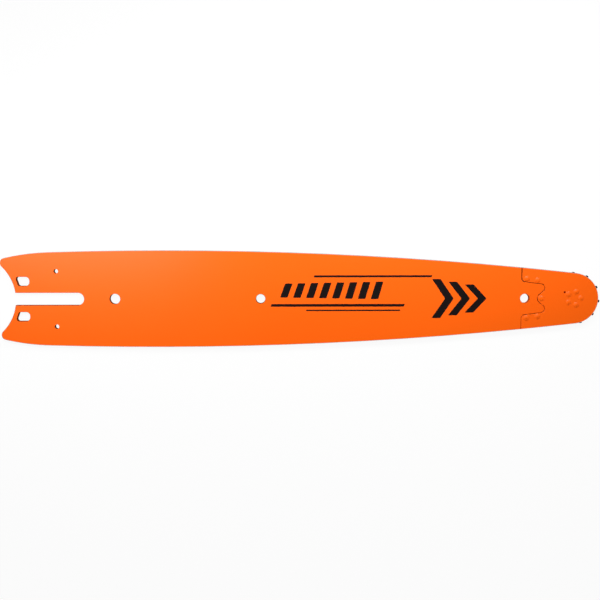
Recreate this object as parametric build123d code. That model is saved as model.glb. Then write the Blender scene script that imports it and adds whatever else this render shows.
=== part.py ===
from build123d import *
import math
import os

# Harvester guide bar with a replaceable sprocket nose, in millimetres.
# X runs along the bar to the nose, Y across its width and Z through its thickness.
# The origin is the centre of the clamp slot's round end, halfway through the thickness.

# Bar plate
bar_thickness = 7.6
bar_width = 123.3
widest_ahead = 106.0  # slot end to the widest place
nose_ahead = 632.3  # slot end to the axis of the nose sprocket
nose_radius = 32.5
nose_arc_back = 1.5  # the nose is struck from behind the axis, so its teeth stand out most at the tip
tail_edge_radius = 270.0
tail_edge_back = 38.8  # behind the slot end, where the chain edge curves in to the tail
drive_axis_back = 136.5  # slot end back to the axis of the saw head's drive sprocket
drive_clearance_radius = 57.9
horn_radius = 6.5
edge_chamfer = 0.4

# Groove for the chain's drive links, flared at the tail where the chain enters
groove_width = 2.1
groove_depth = 9.0
flare_width = 3.6
flare_length = 14.0

# Slot and holes of the clamped end
slot_width = 15.8
tensioner_wall = 5.6  # steel left between the tail and each tensioner hole
tensioner_hole_length = 16.0
tensioner_hole_height = 11.6
tensioner_hole_spread = 44.9  # between the middles of the two holes
tensioner_tail_corner = 3.0
tensioner_front_corner = 5.0
oil_hole_back = 27.2
oil_hole_spread = 70.7
oil_hole_diameter = 5.8
oil_passage_diameter = 2.0

# Round holes on the centre line
rear_hole_ahead = 47.2
rear_hole_diameter = 13.2
rack_hole_diameter = 11.7
middle_hole_ahead = 232.5
front_hole_past_seam = 4.5

# Seam between the bar and the nose plates, measured from the end of the bar's tongue.
# Corners are placed as they would be before rounding.
seam_back = 33.0
notch_back = 16.4
lobe_ahead = 3.4
tenon_root_radius = 5.1
lobe_radius = 4.8
notch_radius = 7.0
tenon_taper = 1.0  # how much more the tenon's side closes in than the groove floor does
seam_gap = 0.55

# Rivets
rivet_head_diameter = 7.4
rivet_shank_diameter = 4.8
rivet_crown = 0.8
rivet_clearance = 0.05
rivet_edge_distance = 4.6  # to the seam, and to the groove floor
notch_rivet_ahead = 5.4  # of the notch's rounded floor
rivet_steps = (6.4, 20.4)  # along the tenon's side, from its root
hub_rivet_count = 5
hub_rivet_circle_radius = 8.8

# Nose sprocket and its bearing
tooth_count = 11
tooth_stand_out = 1.0
tooth_tip_width = 3.0
tooth_flank_angle = 12.0
tooth_tip_round = 0.9
tooth_phase = -6.8
gullet_depth = 10.0
side_clearance = 0.1
tongue_clearance = 1.0
hub_radius = 13.0
roller_diameter = 3.2
roller_count = 16
running_clearance = 0.05
cage_clearance = 0.35
cage_flange = 0.4
pocket_clearance = 0.08
grease_hole_diameter = 2.5
grease_hole_angle = 147.0

# Values that follow from those above
plate_thickness = (bar_thickness - groove_width) / 2
half_width = bar_width / 2
nose_axis = Pos(nose_ahead, 0)
drive_axis = Pos(-drive_axis_back, 0)
tooth_tip_radius = nose_radius + tooth_stand_out
bearing_length = groove_width - 2 * side_clearance
roller_circle_radius = hub_radius + running_clearance + roller_diameter / 2
sprocket_bore_radius = hub_radius + 2 * running_clearance + roller_diameter
tongue_radius = tooth_tip_radius + tongue_clearance
tongue_end = nose_ahead - tongue_radius
nose_centre = nose_ahead - nose_arc_back
belly_rise = half_width - nose_radius
belly_radius = ((nose_centre - widest_ahead) ** 2 + half_width**2 - nose_radius**2) / (2 * belly_rise)
belly_centre = Vector(widest_ahead, half_width - belly_radius)


def tenon_height(x):
    """Half the tenon's height at x: below the groove floor by the room that a rivet needs."""
    chain_edge = belly_centre.Y + math.sqrt(belly_radius**2 - (x - widest_ahead) ** 2)
    return chain_edge - groove_depth - 2 * rivet_edge_distance


seam_root = Vector(tongue_end - seam_back, tenon_height(tongue_end - seam_back))
seam_lobe = Vector(tongue_end + lobe_ahead, tenon_height(tongue_end + lobe_ahead) - tenon_taper)
seam_notch = Vector(tongue_end - notch_back, 0)


def chain_outline(inset):
    """Face between the two chain edges, pulled in by inset, from the drive axis to the nose."""
    belly_start = 90 + math.degrees(math.asin((widest_ahead + tail_edge_back) / belly_radius))
    belly_end = math.degrees(math.atan2(-belly_centre.Y, nose_centre - widest_ahead))
    tail_centre = belly_centre + Vector(belly_radius - tail_edge_radius, 0).rotate(Axis.Z, belly_start)
    tail_radius = tail_edge_radius - inset
    tail_start = math.degrees(math.acos((-drive_axis_back - tail_centre.X) / tail_radius))
    tail = CenterArc(tail_centre, tail_radius, tail_start, belly_start - tail_start)
    belly = CenterArc(belly_centre, belly_radius - inset, belly_start, belly_end - belly_start)
    nose = CenterArc((nose_centre, 0), nose_radius - inset, belly_end, -2 * belly_end)
    upper = [tail, belly]
    lower = [mirror(edge, about=Plane.XZ) for edge in upper]
    back = Line(tail @ 0, lower[0] @ 0)
    return make_face(upper + [nose] + lower + [back])


def blade_face():
    """Side view of the whole bar, with the tail cut clear of the drive sprocket and its horns rounded."""
    blade = chain_outline(0) - drive_axis * Circle(drive_clearance_radius)
    horns = blade.vertices().sort_by(Axis.X)[:2]
    return fillet(horns, horn_radius)


def core_face(blade):
    """Middle layer of the bar: up to the groove floors, and back clear of the nose sprocket."""
    core = chain_outline(groove_depth) & blade
    return core - nose_axis * Circle(tongue_radius)


def nose_side():
    """Everything ahead of the jigsaw seam, as a face larger than the nose."""
    outer = Vector(seam_root.X, bar_width)
    upper = [outer, seam_root, seam_lobe]
    lower = [Vector(point.X, -point.Y) for point in reversed(upper)]
    far = [Vector(nose_ahead + bar_width, -bar_width), Vector(nose_ahead + bar_width, bar_width)]
    half_radii = [0, tenon_root_radius, lobe_radius]
    radii = half_radii + [notch_radius] + half_radii[::-1] + [0, 0]
    return make_face(FilletPolyline(upper + [seam_notch] + lower + far, radius=radii, close=True))


def notch_rivet_place():
    """Middle of the rivet in the tenon's notch, a little ahead of the notch's rounded floor."""
    slope = math.atan2(seam_lobe.Y, seam_lobe.X - seam_notch.X)
    notch_floor = notch_radius / math.sin(slope) - notch_radius
    return seam_notch + Vector(notch_floor + notch_rivet_ahead, 0)


def tip_rivet_places():
    """Two rivets along each side of the tenon and one in its notch."""
    along = (seam_lobe - seam_root).normalized()
    out = along.rotate(Axis.Z, 90)
    upper = [seam_root + along * step + out * rivet_edge_distance for step in rivet_steps]
    lower = [Vector(point.X, -point.Y) for point in upper]
    return [Pos(point) for point in upper + lower + [notch_rivet_place()]]


def hub_rivet_places():
    """Rivets through the bearing hub, evenly round the nose axis."""
    return [nose_axis * place for place in PolarLocations(hub_rivet_circle_radius, hub_rivet_count)]


def through(face):
    """Cutter right through the bar."""
    return extrude(face, bar_thickness, both=True)


def rivet():
    """Flush rivet with a low crown on both heads."""
    top = bar_thickness / 2
    shank = rivet_shank_diameter / 2
    head = rivet_head_diameter / 2
    sides = Polyline((0, 0), (shank, 0), (shank, top - head + shank), (head, top))
    crown = TangentArc((0, top + rivet_crown), (head, top), tangent=(1, 0))
    axis = Line((0, 0), (0, top + rivet_crown))
    half = revolve(Plane.XZ * make_face([sides, crown, axis]), Axis.Z)
    return half + mirror(half, about=Plane.XY)


def rivet_hole():
    """Countersunk hole that takes a rivet with a small clearance."""
    top = bar_thickness / 2
    shank = rivet_shank_diameter / 2 + rivet_clearance
    head = rivet_head_diameter / 2 + rivet_clearance
    points = [(0, 0), (shank, 0), (shank, top - head + shank), (head, top), (head, top + 1), (0, top + 1)]
    half = revolve(Plane.XZ * make_face(Polyline(points, close=True)), Axis.Z)
    return half + mirror(half, about=Plane.XY)


def clamp_slot():
    """Slot from the tail to the origin, with a full round end."""
    reach = drive_axis_back
    return Circle(slot_width / 2) + Pos(-reach / 2, 0) * Rectangle(reach, slot_width)


def tensioner_hole():
    """Upper tensioner hole: its tail side follows the tail's arc, its other corners are rounder."""
    inner = drive_clearance_radius + tensioner_wall
    middle = tensioner_hole_spread / 2
    tail_side = -drive_axis_back + math.sqrt(inner**2 - middle**2)
    block = Pos(tail_side, middle) * Rectangle(2 * tensioner_hole_length, tensioner_hole_height)
    hole = block - drive_axis * Circle(inner)
    corners = hole.vertices().sort_by(Axis.X)
    hole = fillet(corners[2:], tensioner_front_corner)
    return fillet(hole.vertices().sort_by(Axis.X)[:2], tensioner_tail_corner)


def round_holes():
    """Rear hole and the two rack holes on the centre line."""
    rear = Pos(rear_hole_ahead, 0) * Circle(rear_hole_diameter / 2)
    middle = Pos(middle_hole_ahead, 0) * Circle(rack_hole_diameter / 2)
    front = Pos(seam_root.X + front_hole_past_seam, 0) * Circle(rack_hole_diameter / 2)
    return [rear, middle, front]


def oil_way():
    """Upper oil hole through the bar, with a drilled passage to the groove floor above it."""
    middle = oil_hole_spread / 2
    hole = through(Pos(-oil_hole_back, middle) * Circle(oil_hole_diameter / 2))
    drill = Plane((-oil_hole_back, middle, 0), z_dir=(0, 1, 0))
    passage = extrude(drill * Circle(oil_passage_diameter / 2), half_width - groove_depth - middle)
    return hole + passage


def entry_flare(blade):
    """Wedge that widens the ends of both grooves towards the tail, outside the groove floors."""
    tail = blade.bounding_box().min.X
    start = (tail, flare_width / 2)
    end = (tail + flare_length, groove_width / 2)
    side = Polyline(start, end, (end[0], -end[1]), (start[0], -start[1]), close=True)
    wedge = extrude(Plane.XZ * make_face(side), bar_width, both=True)
    core = extrude(chain_outline(groove_depth), flare_width, both=True)
    return wedge - core


def outer_layer(face):
    """One of the two outer layers, above the groove, with its outer edges broken."""
    layer = extrude(Pos(0, 0, groove_width / 2) * face, plate_thickness)
    rim = layer.faces().sort_by(Axis.Z)[-1].edges()
    return chamfer(rim, edge_chamfer)


def bar_body(blade):
    """Solid bar: two outer layers up to the seam and a core that reaches on between the nose plates."""
    openings = round_holes() + [clamp_slot(), tensioner_hole(), mirror(tensioner_hole(), about=Plane.XZ)]
    side = blade - nose_side()
    for opening in openings:
        side -= opening
    layer = outer_layer(side)
    body = extrude(core_face(blade), groove_width / 2, both=True)
    for opening in openings:
        body -= through(opening)
    body = body + layer + mirror(layer, about=Plane.XY)
    body = body - entry_flare(blade) - oil_way() - mirror(oil_way(), about=Plane.XZ)
    for place in tip_rivet_places():
        body -= place * rivet_hole()
    return body


def nose_plate(blade):
    """Upper nose plate, with countersunk rivet holes and a grease hole over the rollers."""
    plate = outer_layer(blade & offset(nose_side(), -seam_gap))
    for place in tip_rivet_places() + hub_rivet_places():
        plate -= place * rivet_hole()
    grease = Rot(0, 0, grease_hole_angle) * Pos(roller_circle_radius, 0) * Circle(grease_hole_diameter / 2)
    return plate - through(nose_axis * grease)


def gullet():
    """Gap between two teeth on the +X side of a sprocket: a V with a round bottom."""
    half_pitch = 180 / tooth_count
    half_tip = math.degrees(math.asin(tooth_tip_width / 2 / tooth_tip_radius))
    corner = Vector(tooth_tip_radius, 0).rotate(Axis.Z, half_pitch - half_tip)
    slope = math.radians(half_pitch + tooth_flank_angle)
    point = corner.X - corner.Y / math.tan(slope)
    round_radius = (tooth_tip_radius - gullet_depth - point) / (1 / math.sin(slope) - 1)
    mouth = 2 * tooth_tip_radius
    rise = (mouth - point) * math.tan(slope)
    corners = (mouth, rise), (point, 0), (mouth, -rise)
    return make_face(FilletPolyline(*corners, radius=[0, round_radius, 0], close=True))


def nose_sprocket():
    """Toothed ring between the nose plates, turning on the rollers."""
    star = Circle(tooth_tip_radius)
    first = tooth_phase + 180 / tooth_count
    for place in PolarLocations(0, tooth_count, start_angle=first):
        star -= place * gullet()
    tips = star.vertices().filter_by(lambda v: math.hypot(v.X, v.Y) > tooth_tip_radius - 0.01)
    star = fillet(tips, tooth_tip_round)
    ring = star - Circle(sprocket_bore_radius)
    return nose_axis * extrude(ring, bearing_length / 2, both=True)


def bearing_hub():
    """Disc riveted between the nose plates, on which the rollers run."""
    hub = nose_axis * extrude(Circle(hub_radius), groove_width / 2, both=True)
    for place in hub_rivet_places():
        hub -= place * rivet_hole()
    return hub


def roller_places():
    """Roller centres round the nose axis, each on top of the cage's flange."""
    lift = Pos(0, 0, cage_flange / 2)
    return [nose_axis * lift * place for place in PolarLocations(roller_circle_radius, roller_count)]


def bearing_roller():
    """Short roller that stands on the cage's flange."""
    return Cylinder(roller_diameter / 2, bearing_length - cage_flange)


def bearing_cage():
    """Crown cage: a flat flange ring with a finger between each two rollers."""
    outer = sprocket_bore_radius - cage_clearance
    inner = hub_radius + cage_clearance
    cage = nose_axis * extrude(Circle(outer) - Circle(inner), bearing_length / 2, both=True)
    pocket = Cylinder(roller_diameter / 2 + pocket_clearance, bearing_length - cage_flange)
    for place in roller_places():
        cage -= place * pocket
    return cage


def export(name, shape):
    """One file for each piece."""
    export_step(shape, f"parts/{name}.step")


os.makedirs("parts", exist_ok=True)
blade = blade_face()
upper_plate = nose_plate(blade)
export("bar_body", bar_body(blade))
export("nose_plate_upper", upper_plate)
export("nose_plate_lower", mirror(upper_plate, about=Plane.XY))
export("nose_sprocket", nose_sprocket())
export("bearing_hub", bearing_hub())
export("bearing_cage", bearing_cage())
for number, place in enumerate(roller_places(), start=1):
    export(f"bearing_roller_{number:02d}", place * bearing_roller())
export("nose_rivets", Compound([place * rivet() for place in tip_rivet_places()]))
export("hub_rivets", Compound([place * rivet() for place in hub_rivet_places()]))
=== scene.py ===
# %% [markdown]
# # A harvester guide bar
# A guide bar carries the saw chain of a timber harvester. It is a long flat steel blade with a
# slotted tail that the saw head clamps, a groove along both edges that keeps the chain on line,
# and a separate nose with a small toothed sprocket that turns the chain round.
# The solids come ready-made, at their real size. This script gives them their finishes,
# adds the printed design on the side face, and sets up the studio.

# %% Load the solids
import math

import bpy
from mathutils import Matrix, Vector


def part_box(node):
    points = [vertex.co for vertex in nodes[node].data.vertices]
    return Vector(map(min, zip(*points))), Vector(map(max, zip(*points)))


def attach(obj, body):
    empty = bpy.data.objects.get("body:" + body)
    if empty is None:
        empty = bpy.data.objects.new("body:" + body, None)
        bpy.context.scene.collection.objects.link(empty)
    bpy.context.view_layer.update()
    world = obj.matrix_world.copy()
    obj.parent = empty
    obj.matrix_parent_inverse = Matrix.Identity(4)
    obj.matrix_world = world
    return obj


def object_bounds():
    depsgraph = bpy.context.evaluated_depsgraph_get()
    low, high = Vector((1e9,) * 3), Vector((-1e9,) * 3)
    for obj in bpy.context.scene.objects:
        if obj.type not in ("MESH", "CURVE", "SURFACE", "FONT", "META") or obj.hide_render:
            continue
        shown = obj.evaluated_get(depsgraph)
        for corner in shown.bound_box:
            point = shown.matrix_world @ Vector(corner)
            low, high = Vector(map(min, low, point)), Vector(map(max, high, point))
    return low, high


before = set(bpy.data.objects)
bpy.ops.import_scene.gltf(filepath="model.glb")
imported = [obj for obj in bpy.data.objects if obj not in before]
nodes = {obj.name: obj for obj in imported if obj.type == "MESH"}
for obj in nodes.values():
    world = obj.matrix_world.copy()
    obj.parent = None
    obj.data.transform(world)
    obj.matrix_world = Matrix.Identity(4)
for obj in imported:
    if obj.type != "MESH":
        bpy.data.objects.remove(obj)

cad_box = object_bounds()
print("pieces:", len(nodes), "box:", [[round(v, 4) for v in corner] for corner in cad_box])

# %% [markdown]
# ## A few helpers for shader nodes
# Every finish below is a small tree of nodes. They could be wired one line at a time, but a few
# helpers keep the trees short to write: they add a node with its settings, make a new material
# or node group, and do the sums and mixes that come again and again.

# %% Nodes, materials and groups
def feed(tree, socket, value):
    """Link another node's output to a socket, or set the socket to a plain value."""
    if isinstance(value, bpy.types.NodeSocket):
        tree.links.new(value, socket)
    else:
        socket.default_value = value


def add_node(tree, kind, inputs=None, **settings):
    made = tree.nodes.new(kind)
    for name, value in settings.items():
        setattr(made, name, value)
    for name, value in (inputs or {}).items():
        feed(tree, made.inputs[name], value)
    return made


def new_material(name):
    material = bpy.data.materials.new(name)
    material.use_nodes = True
    tree = material.node_tree
    print("finish:", name)
    return material, tree, tree.nodes["Principled BSDF"]


def new_group(name, inputs, outputs):
    group = bpy.data.node_groups.new(name, "ShaderNodeTree")
    for label, default in inputs.items():
        socket = group.interface.new_socket(label, in_out="INPUT", socket_type="NodeSocketFloat")
        socket.default_value = default
    for label in outputs:
        group.interface.new_socket(label, in_out="OUTPUT", socket_type="NodeSocketFloat")
    print("effect:", name, "inputs:", list(inputs), "outputs:", outputs)
    return group, group.nodes.new("NodeGroupInput"), group.nodes.new("NodeGroupOutput")


def use_group(tree, group, inputs):
    return add_node(tree, "ShaderNodeGroup", inputs, node_tree=group)


# %% Sums, mixes and bumps
def colour(red, green, blue):
    return (red, green, blue, 1.0)


def math_node(tree, operation, *values):
    made = add_node(tree, "ShaderNodeMath", operation=operation)
    for socket, value in zip(made.inputs, values):
        feed(tree, socket, value)
    return made.outputs[0]


def mix_colour(tree, factor, first, second):
    made = add_node(tree, "ShaderNodeMix", data_type="RGBA")
    sockets = {socket.identifier: socket for socket in made.inputs}
    feed(tree, sockets["Factor_Float"], factor)
    feed(tree, sockets["A_Color"], first)
    feed(tree, sockets["B_Color"], second)
    return next(socket for socket in made.outputs if socket.identifier == "Result_Color")


def span(tree, value, low, high):
    """Stretch a value from 0..1 to low..high."""
    made = add_node(tree, "ShaderNodeMapRange", {"Value": value, "To Min": low, "To Max": high})
    return made.outputs["Result"]


def bump(tree, shader, height, strength, depth):
    inputs = {"Strength": strength, "Distance": depth, "Height": height}
    made = add_node(tree, "ShaderNodeBump", inputs)
    feed(tree, shader.inputs["Normal"], made.outputs["Normal"])


# %% [markdown]
# ## Effects that several finishes share
# Paint, print and steel all have a fine grain, so that is built once as a node group, with its
# size in metres as an input. Ground steel and cut walls have fine parallel lines: the same noise,
# drawn out along one direction. A third group finds upright faces, where steel parts rub bright.

# %% Fine grain
grain_inputs = {"Size": 0.001, "Sharpness": 1.0}
grain_group, group_in, group_out = new_group("fine_grain", grain_inputs, ["Grain"])
place = add_node(grain_group, "ShaderNodeTexCoord").outputs["Object"]
per_metre = math_node(grain_group, "DIVIDE", 1.0, group_in.outputs["Size"])
noise_inputs = {"Vector": place, "Scale": per_metre, "Detail": 3.0}
noise = add_node(grain_group, "ShaderNodeTexNoise", noise_inputs).outputs["Fac"]
middle = 0.5
swing = math_node(grain_group, "SUBTRACT", noise, middle)
sharper = math_node(grain_group, "MULTIPLY_ADD", swing, group_in.outputs["Sharpness"], middle)
sharper.node.use_clamp = True
grain_group.links.new(sharper, group_out.inputs["Grain"])

# %% Drawn-out lines
line_inputs = {"Along X": 0.02, "Along Y": 0.0002, "Along Z": 0.0002}
line_group, group_in, group_out = new_group("drawn_lines", line_inputs, ["Lines"])
place = add_node(line_group, "ShaderNodeTexCoord").outputs["Object"]
lengths = {label[-1]: group_in.outputs[label] for label in line_inputs}
line_length = add_node(line_group, "ShaderNodeCombineXYZ", lengths).outputs["Vector"]
drawn = add_node(line_group, "ShaderNodeVectorMath", operation="DIVIDE")
feed(line_group, drawn.inputs[0], place)
feed(line_group, drawn.inputs[1], line_length)
noise_inputs = {"Vector": drawn.outputs["Vector"], "Scale": 1.0, "Detail": 4.0}
noise = add_node(line_group, "ShaderNodeTexNoise", noise_inputs).outputs["Fac"]
line_group.links.new(noise, group_out.inputs["Lines"])

# %% Upright faces
upright_group, group_in, group_out = new_group("upright_faces", {}, ["Upright"])
normal = add_node(upright_group, "ShaderNodeTexCoord").outputs["Normal"]
normal_z = add_node(upright_group, "ShaderNodeSeparateXYZ", {"Vector": normal}).outputs["Z"]
tilt = math_node(upright_group, "ABSOLUTE", normal_z)
fade = {"Value": tilt, "From Min": 0.25, "From Max": 0.45, "To Min": 1.0, "To Max": 0.0}
upright = add_node(upright_group, "ShaderNodeMapRange", fade).outputs["Result"]
upright_group.links.new(upright, group_out.inputs["Upright"])

# %% [markdown]
# ## Orange enamel
# The bar, the nose plates and the rivet heads are sprayed together after assembly, so one finish
# covers them all. The enamel is satin with a faint orange-peel ripple, a little dust under it and
# tiny changes of tone over a hand's breadth. It could be one flat colour, but then it would look
# like plastic close by, so the ripple and the dust are a bump and the tone is a slow noise.

# %% Orange enamel
enamel_colour = colour(0.945, 0.122, 0.0012)
enamel_deep = colour(0.93, 0.114, 0.0008)
dust_share = 0.15
enamel, tree, shader = new_material("orange_enamel")
tone = use_group(tree, grain_group, {"Size": 0.09, "Sharpness": 1.6}).outputs["Grain"]
ripple = use_group(tree, grain_group, {"Size": 0.0016, "Sharpness": 1.4}).outputs["Grain"]
dust = use_group(tree, grain_group, {"Size": 0.00035, "Sharpness": 3.0}).outputs["Grain"]
skin = mix_colour(tree, span(tree, tone, low=0.0, high=0.6), enamel_colour, enamel_deep)
feed(tree, shader.inputs["Base Color"], skin)
feed(tree, shader.inputs["Roughness"], span(tree, ripple, low=0.36, high=0.44))
relief = math_node(tree, "MULTIPLY_ADD", dust, dust_share, ripple)
bump(tree, shader, relief, strength=0.25, depth=0.00004)
shader.inputs["Specular IOR Level"].default_value = 0.26

plates = ["bar_body", "nose_plate_upper", "nose_plate_lower"]
painted = plates + ["nose_rivets", "hub_rivets"]
for name in painted:
    nodes[name].material_slots[0].material = enamel
print("enamel on", painted)

# %% [markdown]
# ## Painted shade on walls and edges
# The broken edges and the walls of the holes, the slot and the seam are painted a dull red-brown
# as painted shade, with the upright lines that the cutting left. The hole near the nose and the
# near half of the seam get a lighter copy of it, as painted light, and the small greasing hole is
# red with grease. It could be one material that finds walls by their tilt, but the open end of
# the tail and the edges along most of the seam keep the plain enamel, with no painted shade.
# So the faces are picked in code, by their place, and get material slots of their own.

# %% Painted shade on walls
# A wall finish of painted shade: its two tones are the darker and the lighter shade, mixed by the
# cut lines.
def wall_shade_finish(name, thin, thick):
    material, tree, shader = new_material(name)
    cut_sizes = {"Along X": 0.0006, "Along Y": 0.0006, "Along Z": 0.02}
    cut_lines = use_group(tree, line_group, cut_sizes).outputs["Lines"]
    mist = use_group(tree, grain_group, {"Size": 0.0012, "Sharpness": 1.5}).outputs["Grain"]
    feed(tree, shader.inputs["Base Color"], mix_colour(tree, cut_lines, thin, thick))
    feed(tree, shader.inputs["Roughness"], span(tree, mist, low=0.55, high=0.75))
    bump(tree, shader, cut_lines, strength=0.3, depth=0.00003)
    shader.inputs["Specular IOR Level"].default_value = 0.0
    return material


# Deep painted shade for most walls and broken edges, a lighter copy as painted light for the
# front hole and the near half of the seam, and red grease in the greasing hole.
deep_shade_tones = colour(0.12, 0.022, 0.005), colour(0.26, 0.050, 0.010)
light_shade_tones = colour(0.34, 0.060, 0.008), colour(0.62, 0.100, 0.012)
greased_tones = colour(0.46, 0.008, 0.003), colour(0.64, 0.012, 0.004)
deep_shade_wall = wall_shade_finish("deep_shade_wall", *deep_shade_tones)
light_shade_wall = wall_shade_finish("light_shade_wall", *light_shade_tones)
greased_wall = wall_shade_finish("greased_wall", *greased_tones)

# %% Places on the tail and the nose
drive_x, drive_radius, drive_slack = -0.1365, 0.0579, 0.0006  # the arc of the tail's open end
horn_x, horn_y = -0.07, 0.04  # the horns lie beyond these
front_hole_x, front_hole_reach = 0.5693, 0.0068
grease_hole_x, grease_hole_y, grease_hole_reach = 0.62007, 0.00795, 0.0016
seam_x = 0.562  # the seam and the nose lie beyond this
dark_seam_x, dark_seam_y = 0.575, 0.0175  # the seam's broken edges get deep painted shade at its far end
light_seam_y = -0.008  # and a lighter painted shade on its near half


def on_tail(face):
    x, y = face.center.x, abs(face.center.y)
    on_arc = math.hypot(x - drive_x, y) < drive_radius + drive_slack
    return on_arc or (x < horn_x and y > horn_y)


def in_front_hole(face):
    return math.hypot(face.center.x - front_hole_x, face.center.y) < front_hole_reach


def in_grease_hole(face):
    x, y = face.center.x - grease_hole_x, face.center.y - grease_hole_y
    return math.hypot(x, y) < grease_hole_reach


print("front hole at x", front_hole_x, "grease hole at x", grease_hole_x, "seam beyond x", seam_x)

# %% Which faces get painted shade
wall_tilt = 0.4  # the normal of a wall rises less than this
edge_tilt = 0.9  # the normal of a broken edge rises less than this


def keeps_enamel(face):
    """The broken edges of the nose keep the enamel, with no painted shade, except at the far end
    of the seam and in the front hole.
    """
    x, y = face.center.x, face.center.y
    on_dark_seam = x < dark_seam_x and y > dark_seam_y
    return x > seam_x and not on_dark_seam and not in_front_hole(face)


# Walls, apart from the tail's open end, and broken edges that don't keep the enamel get painted
# shade.
def gets_painted_shade(face):
    if abs(face.normal.z) < wall_tilt:
        return not on_tail(face)
    return abs(face.normal.z) < edge_tilt and not keeps_enamel(face)


# A lighter copy of the painted shade, as painted light, for the front hole and the near half of
# the seam.
def gets_lighter_shade(face):
    on_light_seam = face.center.x > seam_x and face.center.y < light_seam_y
    return on_light_seam or in_front_hole(face)


print("tilt of walls under", wall_tilt, "and of broken edges under", edge_tilt)

# %% Give the faces their painted shade and grease
def give_finish(mesh, finish, faces):
    """Add a material slot to the mesh, and put these faces on it."""
    slot = len(mesh.materials)
    mesh.materials.append(finish)
    for face in faces:
        face.material_index = slot
    print(mesh.name, finish.name, "faces:", len(faces))


for name in plates:
    mesh = nodes[name].data
    shaded_faces = [face for face in mesh.polygons if gets_painted_shade(face)]
    give_finish(mesh, deep_shade_wall, shaded_faces)
    give_finish(mesh, light_shade_wall, [face for face in shaded_faces if gets_lighter_shade(face)])
    if name != "bar_body":
        give_finish(mesh, greased_wall, [face for face in shaded_faces if in_grease_hole(face)])

# %% [markdown]
# ## Bare steel on the rails and in the groove
# After painting, the edges that carry the chain are ground, so a thin line of bare steel runs
# round the bar, and the groove between the rails stays as it was milled. The solids already have
# these faces. Each one is tested for lying on the chain's outline, which is three arcs a side,
# or for lying inside, between the rails. Both steels come from one function.

# %% Rail and groove steel
def bare_steel(name, dark, bright, rough):
    material, tree, shader = new_material(name)
    mark_sizes = {"Along X": 0.03, "Along Y": 0.0004, "Along Z": 0.00012}
    marks = use_group(tree, line_group, mark_sizes).outputs["Lines"]
    smear = use_group(tree, grain_group, {"Size": 0.012, "Sharpness": 1.5}).outputs["Grain"]
    feed(tree, shader.inputs["Base Color"], mix_colour(tree, marks, dark, bright))
    feed(tree, shader.inputs["Roughness"], span(tree, smear, *rough))
    bump(tree, shader, marks, strength=0.3, depth=0.00002)
    shader.inputs["Metallic"].default_value = 1.0
    return material


rail_tones = colour(0.30, 0.30, 0.31), colour(0.58, 0.58, 0.59)
groove_tones = colour(0.09, 0.085, 0.08), colour(0.24, 0.235, 0.23)
rail_steel = bare_steel("ground_rail_steel", *rail_tones, rough=(0.30, 0.46))
groove_steel = bare_steel("milled_groove_steel", *groove_tones, rough=(0.42, 0.60))

# %% The chain's outline
half_width, widest_x = 0.06165, 0.106
nose_x, nose_radius = 0.6308, 0.0325
belly_rise = half_width - nose_radius
belly_run = nose_x - widest_x
belly_radius = (belly_run**2 + half_width**2 - nose_radius**2) / (2 * belly_rise)
belly_y = half_width - belly_radius
tail_radius, tail_x = 0.270, -0.0388
tail_turn = (widest_x - tail_x) / belly_radius
tail_centre_x = tail_x + tail_radius * tail_turn
tail_centre_y = belly_y + (belly_radius - tail_radius) * math.sqrt(1 - tail_turn**2)


def depth_below_rail(x, y):
    """How far a point lies inside the chain's outline, in metres."""
    y = abs(y)
    if x < tail_x:
        return tail_radius - math.hypot(x - tail_centre_x, y - tail_centre_y)
    if x > nose_x:
        return nose_radius - math.hypot(x - nose_x, y)
    return belly_radius - math.hypot(x - widest_x, y - belly_y)


print("radius of the long edges:", round(belly_radius, 4))

# %% Which faces are rail, and which lie inside
rail_depth = 0.0007
inside_half = 0.0019


def on_rail(face):
    tilted = abs(face.normal.z) < edge_tilt
    return tilted and depth_below_rail(face.center.x, face.center.y) < rail_depth


def lies_inside(face, points):
    return all(abs(points[index].co.z) < inside_half for index in face.vertices)


for name in plates:
    mesh = nodes[name].data
    give_finish(mesh, rail_steel, [face for face in mesh.polygons if on_rail(face)])
    inside_faces = [face for face in mesh.polygons if lies_inside(face, mesh.vertices)]
    give_finish(mesh, groove_steel, inside_faces)

# %% [markdown]
# ## Sprocket and bearing steel
# The sprocket is hardened and left dark; its tooth tips stand out past the plates. The rollers
# and their hub are ground bright, and the cage between them is plain pressed steel. They run in
# red grease, which covers most of them in an uneven film. They sit inside the nose, but show
# between the plates from the edge and through the grease hole. The film could be a second mesh,
# but it is too thin to see as a shape, so it is a mask that hides the metal.

# %% Steel with a film of grease
grease_red = colour(0.66, 0.012, 0.004)
film_cover = (0.8, 1.0)  # the least and the most that the film hides
rubbed_share = 0.45


def steel_finish(name, dark, bright, line_sizes, rough, greased):
    material, tree, shader = new_material(name)
    marks = use_group(tree, line_group, line_sizes).outputs["Lines"]
    stain = use_group(tree, grain_group, {"Size": 0.006, "Sharpness": 2.0}).outputs["Grain"]
    upright = use_group(tree, upright_group, {}).outputs["Upright"]
    tone = mix_colour(tree, marks, dark, bright)
    stained = mix_colour(tree, span(tree, stain, low=0.0, high=0.5), tone, dark)
    rubbing = math_node(tree, "MULTIPLY", upright, rubbed_share)
    rubbed = mix_colour(tree, rubbing, stained, bright)
    feed(tree, shader.inputs["Roughness"], span(tree, stain, *rough))
    if greased:
        smear = use_group(tree, grain_group, {"Size": 0.0035, "Sharpness": 3.0}).outputs["Grain"]
        film = span(tree, smear, *film_cover)
        feed(tree, shader.inputs["Base Color"], mix_colour(tree, film, rubbed, grease_red))
        feed(tree, shader.inputs["Metallic"], math_node(tree, "SUBTRACT", 1.0, film))
    else:
        feed(tree, shader.inputs["Base Color"], rubbed)
        shader.inputs["Metallic"].default_value = 1.0
    bump(tree, shader, marks, strength=0.25, depth=0.00002)
    return material


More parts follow.
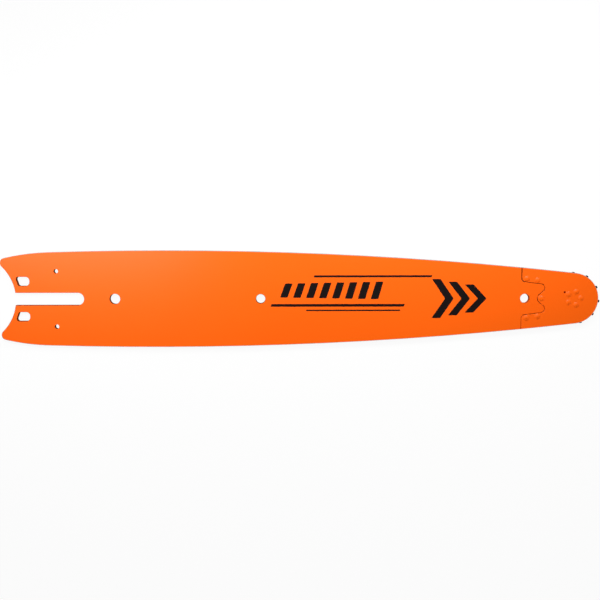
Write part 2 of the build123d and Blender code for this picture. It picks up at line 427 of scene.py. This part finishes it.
# %% Sprocket, bearing and cage
across = {"Along X": 0.00025, "Along Y": 0.02, "Along Z": 0.00025}
upright_marks = {"Along X": 0.0003, "Along Y": 0.0003, "Along Z": 0.004}
sprocket_tones = colour(0.016, 0.015, 0.016), colour(0.06, 0.06, 0.064)
bearing_tones = colour(0.38, 0.38, 0.40), colour(0.66, 0.66, 0.68)
cage_tones = colour(0.24, 0.24, 0.25), colour(0.40, 0.40, 0.41)
dark_steel = steel_finish(
    "dark_sprocket_steel", *sprocket_tones, across, rough=(0.38, 0.58), greased=False)
bearing_steel = steel_finish(
    "ground_bearing_steel", *bearing_tones, upright_marks, rough=(0.16, 0.30), greased=True)
cage_steel = steel_finish(
    "pressed_cage_steel", *cage_tones, across, rough=(0.40, 0.55), greased=True)

nodes["nose_sprocket"].material_slots[0].material = dark_steel
nodes["bearing_cage"].material_slots[0].material = cage_steel
ground_pieces = [name for name in nodes if name.startswith("bearing_roller")] + ["bearing_hub"]
for name in ground_pieces:
    nodes[name].material_slots[0].material = bearing_steel
print("ground bearing pieces:", len(ground_pieces))

# %% [markdown]
# ## Printed design
# The side face carries a black screen print, a few hundredths of a millimetre thick. It is a
# plain design of slanted bars, chevrons and thin lines. It could be painted with a mask in the
# enamel, but real ink has a thickness and a crisp edge. So each shape starts as a plane, is
# pushed into shape in edit mode, gets rounded corners and is raised by the thickness of the ink.

# %% Black print finish
ink_dark, ink_pale = colour(0.0035, 0.0022, 0.0022), colour(0.009, 0.005, 0.005)
print_black, tree, shader = new_material("black_print")
ink = use_group(tree, grain_group, {"Size": 0.0007, "Sharpness": 2.2}).outputs["Grain"]
patch = use_group(tree, grain_group, {"Size": 0.02, "Sharpness": 1.5}).outputs["Grain"]
feed(tree, shader.inputs["Base Color"], mix_colour(tree, ink, ink_dark, ink_pale))
feed(tree, shader.inputs["Roughness"], span(tree, patch, low=0.42, high=0.56))
bump(tree, shader, ink, strength=0.2, depth=0.00002)
shader.inputs["Specular IOR Level"].default_value = 0.12

# %% Starting and shaping one field of ink
face_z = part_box("bar_body")[1][2]


def start_field(columns, rows, centre, size):
    """A grid of the given size on the side face, left in edit mode."""
    if bpy.context.object and bpy.context.object.mode != "OBJECT":
        bpy.ops.object.mode_set(mode="OBJECT")
    bpy.ops.object.select_all(action="DESELECT")
    bpy.ops.mesh.primitive_grid_add(x_subdivisions=columns, y_subdivisions=rows, size=1.0)
    field = bpy.context.object
    bpy.ops.object.mode_set(mode="EDIT")
    bpy.ops.transform.resize(value=(size[0], size[1], 1.0))
    bpy.ops.transform.translate(value=(centre[0], centre[1], face_z))
    return field


def push_points(field, test, along):
    """Select the points that pass the test, and push them along the bar."""
    bpy.ops.mesh.select_all(action="DESELECT")
    bpy.ops.object.mode_set(mode="OBJECT")
    for point in field.data.vertices:
        point.select = test(point.co)
    bpy.ops.object.mode_set(mode="EDIT")
    bpy.ops.mesh.select_mode(type="VERT")
    bpy.ops.transform.translate(value=(along, 0, 0))


print("side face at z", round(face_z, 5))

# %% Raising the ink
ink_thickness = 0.00003
flat_angle = math.radians(0.5)  # edges flatter than this are dissolved
corner_steps = 4
print_pieces = []


def raise_ink(field, corner_radius):
    """Round the corners of the outline, then lift the face by the ink's thickness."""
    bpy.ops.mesh.select_all(action="SELECT")
    bpy.ops.mesh.dissolve_limited(angle_limit=flat_angle)
    bpy.ops.mesh.select_all(action="SELECT")
    bpy.ops.mesh.bevel(offset=corner_radius, segments=corner_steps, affect="VERTICES")
    bpy.ops.mesh.select_all(action="SELECT")
    bpy.ops.mesh.extrude_region_move(TRANSFORM_OT_translate={"value": (0, 0, ink_thickness)})
    bpy.ops.mesh.select_all(action="SELECT")
    bpy.ops.mesh.normals_make_consistent(inside=False)
    bpy.ops.object.mode_set(mode="OBJECT")
    print_pieces.append(field)


def slanted_bar(centre, size, slant, corner_radius):
    field = start_field(1, 1, centre, size)
    push_points(field, lambda co: co.y > centre[1], slant)
    raise_ink(field, corner_radius)


print("ink thickness:", ink_thickness)

# %% Slanted bars
print_corner = 0.0012
bar_count, bar_start, bar_step, bar_y = 8, 0.262, 0.0165, 0.0105
bar_width, bar_slant = 0.0095, 0.0065
bar_height, bar_growth = 0.018, 0.0006
for step in range(bar_count):
    bar_size = (bar_width, bar_height + bar_growth * step)
    slanted_bar((bar_start + bar_step * step, bar_y), bar_size, bar_slant, print_corner)
print("slanted bars:", bar_count)

# %% Chevrons
same_place = 1e-5
chevron_count, chevron_start, chevron_step = 3, 0.456, 0.021
chevron_width, chevron_point = 0.011, 0.017
chevron_height, chevron_loss = 0.050, 0.007


def chevron(centre, size, point, corner_radius):
    field = start_field(1, 2, centre, size)
    push_points(field, lambda co: abs(co.y - centre[1]) < same_place, point)
    raise_ink(field, corner_radius)


for step in range(chevron_count):
    chevron_size = (chevron_width, chevron_height - chevron_loss * step)
    chevron((chevron_start + chevron_step * step, 0.0), chevron_size, chevron_point, print_corner)
print("chevrons:", chevron_count)

# %% Thin lines
thin_lines = [  # centre, size, slant and corner radius
    ((0.330, -0.0085), (0.170, 0.0034), 0.0012, 0.0005),
    ((0.350, -0.0150), (0.120, 0.0018), 0.0006, 0.0003),
    ((0.375, 0.0285), (0.150, 0.0026), 0.0010, 0.0004),
]
for thin_line in thin_lines:
    slanted_bar(*thin_line)
print("thin lines:", len(thin_lines), "print shapes:", len(print_pieces))

# %% Join the print into one piece
bpy.ops.object.select_all(action="DESELECT")
for field in print_pieces:
    field.select_set(True)
bpy.context.view_layer.objects.active = print_pieces[0]
bpy.ops.object.join()
side_print = bpy.context.object
side_print.name = side_print.data.name = "side_print"
side_print.data.materials.append(print_black)
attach(side_print, "bar")
print("print faces:", len(side_print.data.polygons))

# %% [markdown]
# ## Studio
# The bar lies on a plain white table with a low white backdrop all round, so no dim wall shows
# behind it from a low angle. Both look nearly white to the camera on their own account, and the
# table still takes the bar's soft shadow. The room has pale walls, a dim ceiling and a window
# behind the bar on the tail's side. A small lamp over the tail and a long one behind the nose
# make the paint lighter at the tail and at the far edge, without turning it milky. One big lamp
# overhead would be simpler, but it would light the whole face alike.
# The table starts as a wide flat drum, and the drum's lid is taken off.

# %% Table and backdrop
table_z = cad_box[0][2]
table_x, table_radius, table_sides = 0.28, 15.0, 96
backdrop_height = 3.4
lid_tilt = 0.9  # only the lid's normal rises more than this
drum_centre = (table_x, 0.0, table_z + backdrop_height / 2)
bpy.ops.object.select_all(action="DESELECT")
bpy.ops.mesh.primitive_cylinder_add(
    vertices=table_sides, radius=table_radius, depth=backdrop_height, location=drum_centre)
table = bpy.context.object
table.name = "studio_table"
bpy.ops.object.mode_set(mode="EDIT")
bpy.ops.mesh.select_mode(type="FACE")
bpy.ops.mesh.select_all(action="DESELECT")
bpy.ops.object.mode_set(mode="OBJECT")
for face in table.data.polygons:
    face.select = face.normal.z > lid_tilt
bpy.ops.object.mode_set(mode="EDIT")
bpy.ops.mesh.delete(type="FACE")
bpy.ops.mesh.select_all(action="SELECT")
bpy.ops.mesh.normals_make_consistent(inside=True)
bpy.ops.object.mode_set(mode="OBJECT")
print("table at z", round(table_z, 5), "faces:", len(table.data.polygons))

# %% White of the table
table_share = 0.94  # how much of the white shows on its own account
studio_white, tree, shader = new_material("studio_white")
cloud = use_group(tree, grain_group, {"Size": 0.02, "Sharpness": 0.5}).outputs["Grain"]
white = mix_colour(tree, cloud, colour(0.90, 0.90, 0.90), colour(0.94, 0.94, 0.94))
feed(tree, shader.inputs["Base Color"], white)
shader.inputs["Roughness"].default_value = 0.9
shader.inputs["Specular IOR Level"].default_value = 0.0
glow = add_node(tree, "ShaderNodeEmission", {"Color": colour(1.0, 1.0, 1.0), "Strength": 1.0})
rays = add_node(tree, "ShaderNodeLightPath").outputs
seen = math_node(tree, "MAXIMUM", rays["Is Camera Ray"], rays["Is Transmission Ray"])
seen = math_node(tree, "MAXIMUM", seen, rays["Is Glossy Ray"])
share = math_node(tree, "MULTIPLY", seen, table_share)
shown = add_node(tree, "ShaderNodeMixShader", {"Fac": share})
tree.links.new(shader.outputs[0], shown.inputs[1])
tree.links.new(glow.outputs[0], shown.inputs[2])
tree.links.new(shown.outputs[0], tree.nodes["Material Output"].inputs["Surface"])
table.data.materials.append(studio_white)
print("table's own white:", table_share)

# %% Room light
window_way = (-0.6, 0.8, 0.0)
room_levels = {"From Max": 0.95, "To Min": 0.8, "To Max": 0.08}
window_levels = {"From Min": -1.0, "To Min": 0.23, "To Max": 1.42}
world = bpy.data.worlds.new("studio_room")
bpy.context.scene.world = world
world.use_nodes = True
tree = world.node_tree
look = add_node(tree, "ShaderNodeTexCoord").outputs["Generated"]
height = add_node(tree, "ShaderNodeSeparateXYZ", {"Vector": look}).outputs["Z"]
walls = add_node(tree, "ShaderNodeMapRange", {"Value": height, **room_levels}).outputs["Result"]
towards = add_node(tree, "ShaderNodeVectorMath", operation="DOT_PRODUCT")
feed(tree, towards.inputs[0], look)
feed(tree, towards.inputs[1], window_way)
facing = {"Value": towards.outputs["Value"], **window_levels}
window = add_node(tree, "ShaderNodeMapRange", facing).outputs["Result"]
background = tree.nodes["Background"].inputs
background["Color"].default_value = colour(1.0, 1.0, 1.0)
feed(tree, background["Strength"], math_node(tree, "MULTIPLY", walls, window))
print("room levels:", room_levels, "window:", window_levels)

# %% Two soft lamps
def soft_lamp(name, size, power, place, aim_y):
    """An oblong lamp that leans over to light the table at aim_y."""
    lamp_data = bpy.data.lights.new(name, "AREA")
    lamp_data.shape = "RECTANGLE"
    lamp_data.size, lamp_data.size_y = size
    lamp_data.energy = power
    lamp = bpy.data.objects.new(name, lamp_data)
    bpy.context.scene.collection.objects.link(lamp)
    lamp.location = place
    lamp.rotation_euler = (math.atan2(aim_y - place[1], place[2]), 0.0, 0.0)
    lamp.visible_camera = False
    print(name, "watts:", power)


soft_lamp("tail_lamp", size=(0.38, 0.10), power=1.02, place=(-0.076, 0.11, 0.285), aim_y=0.11)
soft_lamp("strip_lamp", size=(0.60, 0.12), power=3.05, place=(0.433, 0.30, 0.328), aim_y=0.0)

# %% [markdown]
# ## Camera
# The photograph looks almost straight down from a little over a metre, and from slightly beyond
# the far edge, so the far edge is drawn larger than the near one. A plain perspective camera at
# that place, turned a little towards the near edge, gives this picture with no lens shift.

# %% Camera
scene = bpy.context.scene
camera_data = bpy.data.cameras.new("camera")
camera_data.sensor_width = 36.0
camera_data.lens = 56.55
camera_data.clip_start = 0.01
camera = bpy.data.objects.new("camera", camera_data)
scene.collection.objects.link(camera)
camera.location = (0.27552, 0.10007, 1.2)
camera.rotation_euler = (-0.0848, -0.0060, -0.0009)
scene.camera = camera
scene.view_settings.view_transform = "Standard"
print("camera height:", round(camera.location.z, 3))
